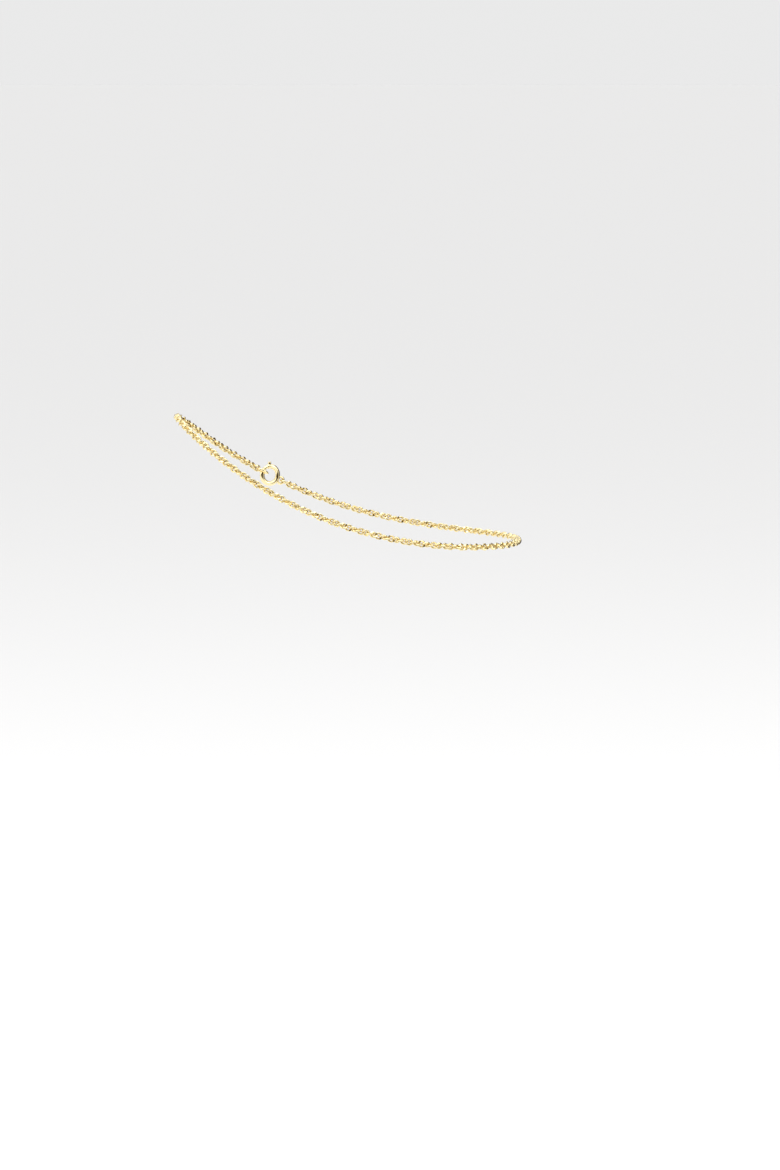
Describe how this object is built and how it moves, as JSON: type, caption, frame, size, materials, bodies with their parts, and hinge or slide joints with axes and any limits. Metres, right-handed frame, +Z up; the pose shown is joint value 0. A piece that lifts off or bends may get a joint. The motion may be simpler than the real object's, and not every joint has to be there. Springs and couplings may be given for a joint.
{
  "type": "chain anklet",
  "caption": "Thin gold-coloured twisted curb chain worn round the ankle, closed by a round spring-ring clasp on jump rings.",
  "frame": {"origin": "inside the loop, midway between the chain's crossing of the heel cord and its crossing of the instep", "axes": "+Z up the leg, +X from the heel to the toes, -Y to the side that is seen, which is the foot's outer side"},
  "size_m": [0.087, 0.0701, 0.0327],
  "materials": {
    "chain_gold": "bright gold plate, facets cut and polished",
    "clasp_gold": "polished gold plate",
    "ring_gold": "polished gold plate"
  },
  "bodies": {
    "root": {"chain": "chain_gold", "clasp": "clasp_gold", "clasp_ring": "ring_gold", "catch_ring": "ring_gold"}
  },
  "joints": []
}
